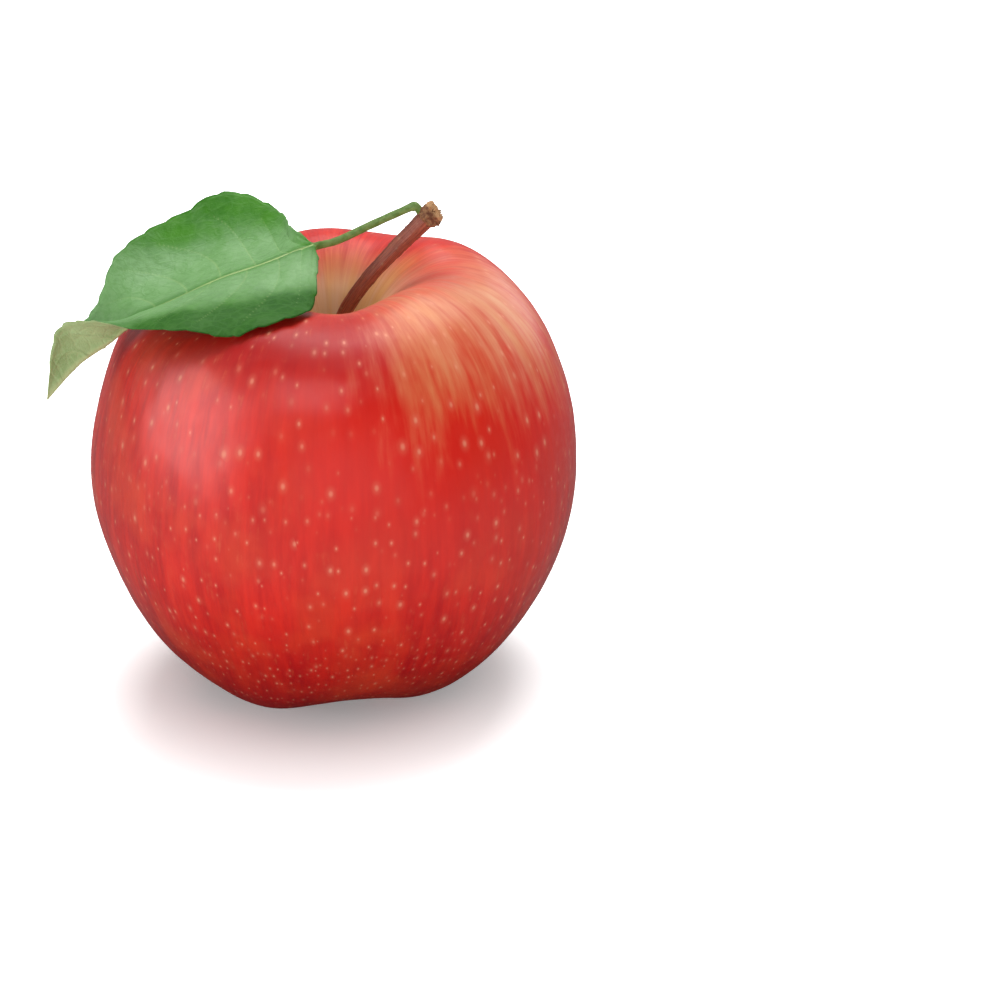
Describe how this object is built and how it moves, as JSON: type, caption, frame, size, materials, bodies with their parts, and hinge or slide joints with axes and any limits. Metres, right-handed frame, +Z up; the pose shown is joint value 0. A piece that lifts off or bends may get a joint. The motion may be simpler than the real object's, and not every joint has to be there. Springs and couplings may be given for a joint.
{
  "type": "apple",
  "caption": "Whole red apple with a curved woody stem, a torn bit of spur and a serrated leaf over its shoulder, standing on its lobed base.",
  "frame": {"origin": "on the floor, under the middle of the whole object's box", "axes": "+Z up along the fruit's core; the stem leans to +X; the leaf lies to -X and -Y"},
  "size_m": [0.0836, 0.079, 0.0801],
  "materials": {
    "skin": "waxy red skin, streaked over yellow, with pale lenticels",
    "stem_bark": "thin red-brown bark, dull",
    "torn_wood": "torn fibrous wood, rough",
    "leaf": "fresh green leaf, satin above, paler and dull below",
    "dried_flower": "dry, downy and brown-grey"
  },
  "bodies": {
    "root": {"fruit": "skin", "stem": "stem_bark", "spur_knob": "torn_wood", "leaf": "leaf", "sepal_1": "dried_flower", "sepal_2": "dried_flower", "sepal_3": "dried_flower", "sepal_4": "dried_flower", "sepal_5": "dried_flower", "stamen_tuft": "dried_flower"}
  },
  "joints": []
}
